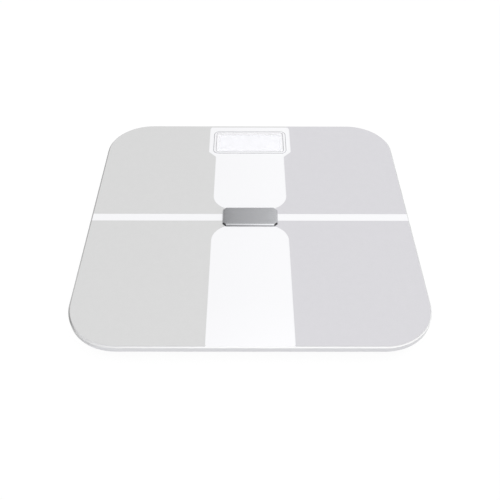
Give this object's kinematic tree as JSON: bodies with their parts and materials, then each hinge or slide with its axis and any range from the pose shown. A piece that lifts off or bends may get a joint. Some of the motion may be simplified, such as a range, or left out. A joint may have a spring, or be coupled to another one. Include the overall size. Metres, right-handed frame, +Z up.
{
  "type": "digital bathroom scale",
  "caption": "Flat square bathroom scale: bevelled glass platform on a shallow moulded base, grey electrode fields round a white cross, display window at the back, metal badge in the middle.",
  "frame": {"origin": "on the floor under the middle of the platform, with the scale standing on its four feet", "axes": "+X to the user's right, +Y from the heel edge to the display edge, +Z up"},
  "size_m": [0.3, 0.3, 0.0271],
  "materials": {
    "clear_glass": "polished",
    "white_print": "screen-printed enamel",
    "electrode_film": "satin conductive coating",
    "badge_metal": "brushed",
    "foam_tape": "closed-cell foam",
    "contact_brass": "tumbled",
    "wire_red": "insulation",
    "wire_white": "insulation",
    "bezel_white": "gloss",
    "clear_lens": "clear acrylic",
    "lcd_glass": "polariser",
    "light_guide": "diffusing",
    "holder_plastic": "moulded",
    "zebra_rubber": "silicone",
    "circuit_board": "solder mask",
    "black_epoxy": "moulded epoxy",
    "zinc_steel": "zinc plated",
    "shell_plastic": "fine moulded texture",
    "cell_jacket": "printed film jacket",
    "nickel": "nickel plated",
    "stamped_steel": "stamped and plated",
    "white_silicone": "potting",
    "foot_plastic": "moulded",
    "pad_rubber": "non-slip",
    "button_plastic": "moulded"
  },
  "bodies": {
    "scale_body": {"glass_platform": "clear_glass", "back_print": "white_print", "electrode_toe_left": "electrode_film", "electrode_toe_right": "electrode_film", "electrode_heel_left": "electrode_film", "electrode_heel_right": "electrode_film", "centre_badge": "badge_metal", "badge_tape": "foam_tape", "electrode_contacts": "contact_brass", "electrode_leads": "wire_white", "display_bezel": "bezel_white", "display_lens": "clear_lens", "lcd_panel": "lcd_glass", "lcd_backlight": "light_guide", "lcd_holder": "holder_plastic", "zebra_strip": "zebra_rubber", "main_board": "circuit_board", "board_components": "black_epoxy", "board_screws": "zinc_steel", "unit_switch": "black_epoxy", "base_shell": "shell_plastic", "mounting_tape": "foam_tape", "aaa_cell_1": "cell_jacket", "aaa_cell_2": "cell_jacket", "aaa_cell_3": "cell_jacket", "battery_springs": "nickel", "battery_plates": "nickel", "battery_leads": "wire_red", "load_cell_toe_left": "stamped_steel", "load_cell_toe_right": "stamped_steel", "load_cell_heel_left": "stamped_steel", "load_cell_heel_right": "stamped_steel", "cell_retainer_toe_left": "shell_plastic", "cell_retainer_toe_right": "shell_plastic", "cell_retainer_heel_left": "shell_plastic", "cell_retainer_heel_right": "shell_plastic", "strain_gauges": "white_silicone", "retainer_screws": "zinc_steel", "sensor_leads": "wire_red"},
    "foot_toe_left": {"foot_cup_toe_left": "foot_plastic", "foot_pad_toe_left": "pad_rubber"},
    "foot_toe_right": {"foot_cup_toe_right": "foot_plastic", "foot_pad_toe_right": "pad_rubber"},
    "foot_heel_left": {"foot_cup_heel_left": "foot_plastic", "foot_pad_heel_left": "pad_rubber"},
    "foot_heel_right": {"foot_cup_heel_right": "foot_plastic", "foot_pad_heel_right": "pad_rubber"},
    "battery_door": {"battery_door": "shell_plastic"},
    "unit_button": {"unit_button": "button_plastic", "switch_plunger": "holder_plastic"}
  },
  "joints": [
    {"name": "foot_float_toe_left", "type": "slide", "parent": "scale_body", "child": "foot_toe_left", "axis": [0, 0, 1], "range_m": [-0.0008, 0]},
    {"name": "foot_float_toe_right", "type": "slide", "parent": "scale_body", "child": "foot_toe_right", "axis": [0, 0, 1], "range_m": [-0.0008, 0]},
    {"name": "foot_float_heel_left", "type": "slide", "parent": "scale_body", "child": "foot_heel_left", "axis": [0, 0, 1], "range_m": [-0.0008, 0]},
    {"name": "foot_float_heel_right", "type": "slide", "parent": "scale_body", "child": "foot_heel_right", "axis": [0, 0, 1], "range_m": [-0.0008, 0]},
    {"name": "battery_door_hinge", "type": "hinge", "parent": "scale_body", "child": "battery_door", "pos_m": [0, 0.0262, 0.0045], "axis": [-1, 0, 0], "range_deg": [0, 100]},
    {"name": "unit_button_press", "type": "slide", "parent": "scale_body", "child": "unit_button", "axis": [0, 0, 1], "range_m": [0, 0.0005], "stiffness_N_per_m": 4000}
  ]
}
